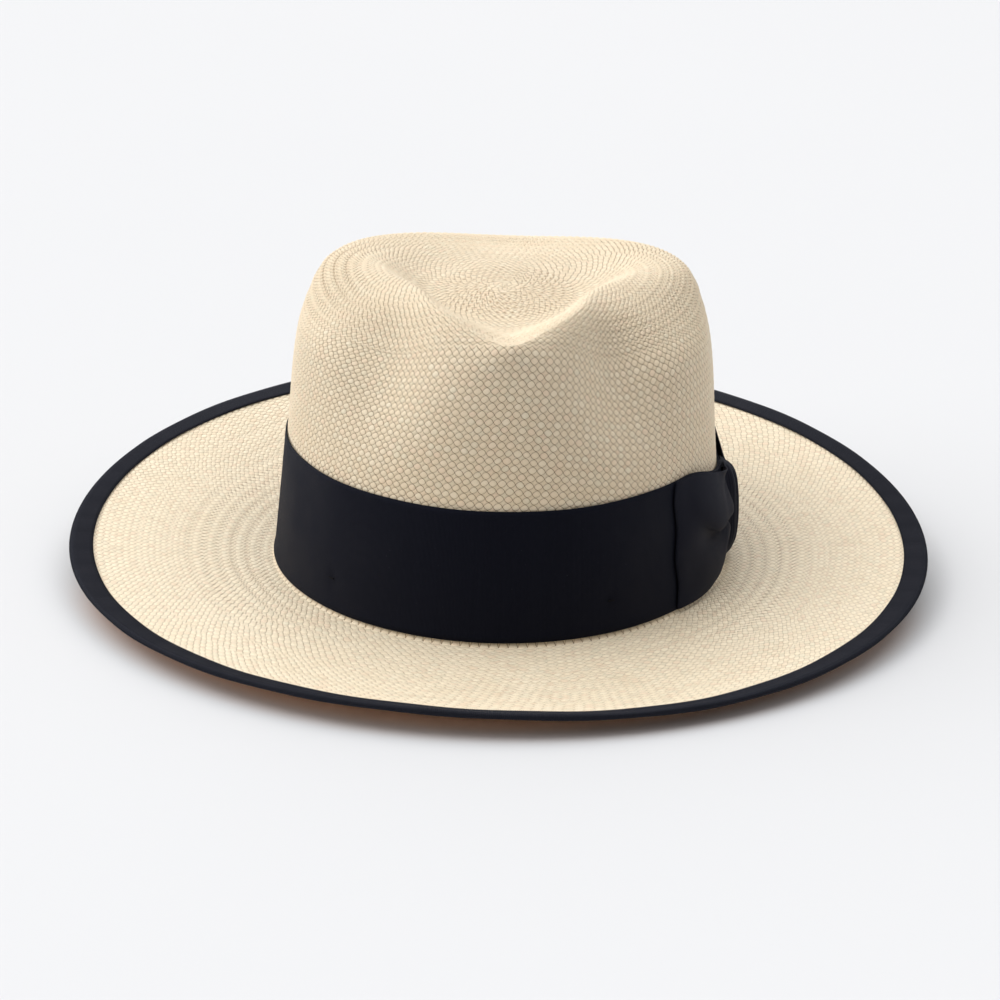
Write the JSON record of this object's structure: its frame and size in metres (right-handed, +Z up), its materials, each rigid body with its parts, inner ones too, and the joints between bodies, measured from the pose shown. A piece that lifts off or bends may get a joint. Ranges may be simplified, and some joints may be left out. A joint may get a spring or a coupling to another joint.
{
  "type": "panama hat",
  "caption": "Woven straw fedora hat with a creased crown, a wide bound brim, and a ribbon band with a side bow.",
  "frame": {"origin": "under the middle of the hat, on the plane that its sweatband stands on", "axes": "+X towards the bow, which is the wearer's left; -Y towards the front of the hat; +Z up"},
  "size_m": [0.3284, 0.364, 0.1175],
  "materials": {
    "straw": "natural pale straw in a plain weave, matt with a faint sheen",
    "binding_ribbon": "black grosgrain ribbon with fine cross ribs",
    "ribbon": "black grosgrain ribbon with fine upright ribs",
    "bow_ribbon": "black grosgrain ribbon, folded and gathered",
    "thread": "black sewing thread",
    "leather": "smooth brown leather",
    "tape": "plain woven tape",
    "reed": "translucent white plastic cord"
  },
  "bodies": {
    "root": {"straw_body": "straw", "brim_binding": "binding_ribbon", "hat_band": "ribbon", "bow_loops": "bow_ribbon", "bow_knot": "bow_ribbon", "band_tack_left": "thread", "band_tack_right": "thread", "sweatband": "leather", "reed_tape": "tape", "sweatband_reed": "reed"}
  },
  "joints": []
}
